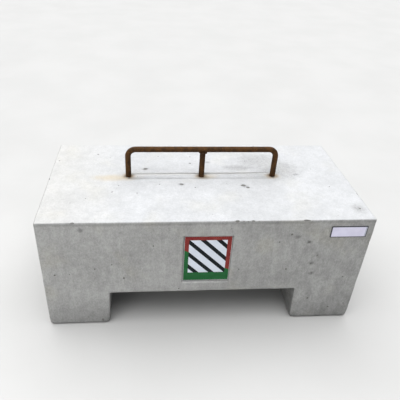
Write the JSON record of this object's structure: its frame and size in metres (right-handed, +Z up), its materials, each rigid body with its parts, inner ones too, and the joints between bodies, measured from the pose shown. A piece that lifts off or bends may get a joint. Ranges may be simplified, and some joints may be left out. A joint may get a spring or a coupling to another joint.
{
  "type": "precast concrete barrier block",
  "caption": "Rectangular precast concrete barrier block on two feet, with a fork slot beneath and a cast-in round-bar lifting handle on top.",
  "frame": {"origin": "on the ground, under the middle of the block", "axes": "+X along the block's length, +Y from its front (the face with the plate) to its back, +Z up"},
  "size_m": [1, 0.5022, 0.5175],
  "materials": {
    "concrete": "matte",
    "rusty_steel": "matte",
    "weld_metal": "matte",
    "rebar": "matte",
    "fibre_cement": "matte",
    "plate_metal": "satin",
    "printed_film": "satin",
    "foam_tape": "matte",
    "label_white": "satin"
  },
  "bodies": {
    "root": {"bottom_bar_1": "rebar", "bottom_bar_2": "rebar", "bottom_bar_3": "rebar", "bottom_bar_4": "rebar", "centre_post_weld": "weld_metal", "concrete_block": "concrete", "deck_spacer_1": "fibre_cement", "deck_spacer_2": "fibre_cement", "deck_spacer_3": "fibre_cement", "deck_spacer_4": "fibre_cement", "emblem_adhesive": "foam_tape", "emblem_film": "printed_film", "emblem_plate": "plate_metal", "foot_hairpin_1": "rebar", "foot_hairpin_2": "rebar", "foot_hairpin_3": "rebar", "foot_hairpin_4": "rebar", "foot_spacer_1": "fibre_cement", "foot_spacer_2": "fibre_cement", "foot_spacer_3": "fibre_cement", "foot_spacer_4": "fibre_cement", "foot_tie_1": "rebar", "foot_tie_2": "rebar", "foot_tie_3": "rebar", "foot_tie_4": "rebar", "handle_anchor_front": "rebar", "handle_anchor_rear": "rebar", "handle_centre_post": "rusty_steel", "label_backing": "foam_tape", "label_face": "label_white", "lifting_handle": "rusty_steel", "stirrup_1": "rebar", "stirrup_2": "rebar", "stirrup_3": "rebar", "stirrup_4": "rebar", "stirrup_5": "rebar", "stirrup_6": "rebar", "stirrup_7": "rebar", "stirrup_8": "rebar", "top_bar_1": "rebar", "top_bar_2": "rebar", "top_bar_3": "rebar", "top_bar_4": "rebar"}
  },
  "joints": []
}
